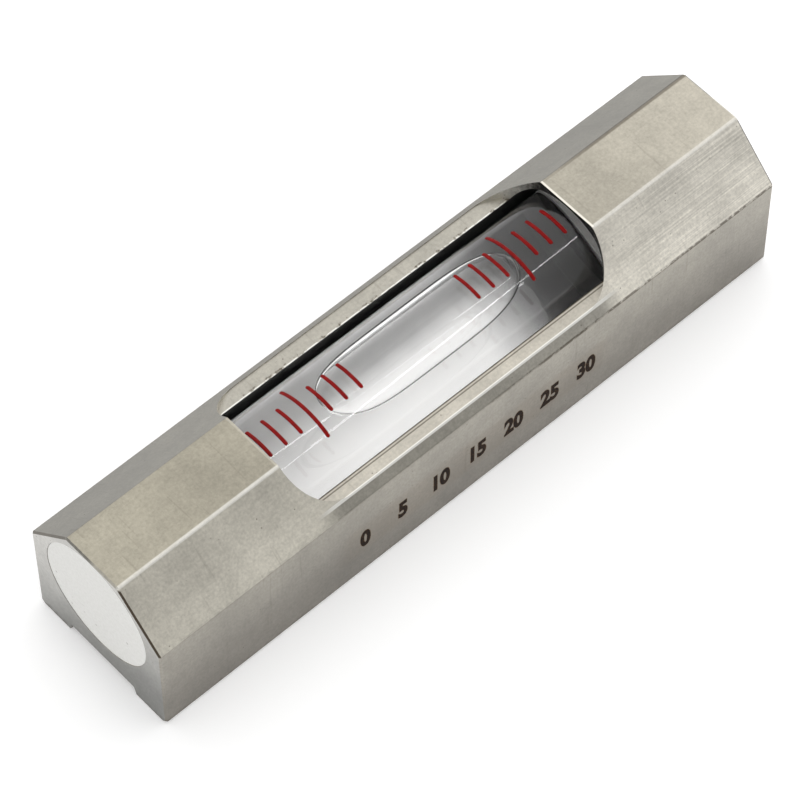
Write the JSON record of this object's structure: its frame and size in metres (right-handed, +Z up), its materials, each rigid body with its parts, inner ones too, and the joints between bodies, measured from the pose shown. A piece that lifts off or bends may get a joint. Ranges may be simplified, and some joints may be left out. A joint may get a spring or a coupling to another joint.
{
  "type": "precision machinist level",
  "caption": "Short steel bar level: half-octagon top, milled window over a ground glass vial with red graduations, travelling bubble, plaster-bedded ends, relieved base.",
  "frame": {"origin": "centre of the footprint, on the plane of the two base rails", "axes": "+X along the bar and its vial, -Y is the marked front face, +Z up through the window"},
  "size_m": [0.084, 0.0196, 0.0192],
  "materials": {
    "steel": "fine ground and milled steel, satin",
    "glass": "clear, polished",
    "spirit": "clear liquid",
    "air": "clear bubble",
    "red_enamel": "fused enamel, satin gloss",
    "white_film": "matte white",
    "plaster": "matte set plaster, flush with the end faces"
  },
  "bodies": {
    "level": {"body": "steel", "vial_tube": "glass", "vial_end_plug_left": "glass", "vial_end_plug_right": "glass", "spirit": "spirit", "short_graduations": "red_enamel", "long_graduations": "red_enamel", "white_backing": "white_film", "plaster_plug_left": "plaster", "plaster_plug_right": "plaster"},
    "bubble": {"air_bubble": "air"}
  },
  "joints": [
    {"name": "bubble_travel", "type": "slide", "parent": "level", "child": "bubble", "axis": [1, 0, 0], "range_m": [-0.0153, 0.0129]}
  ]
}
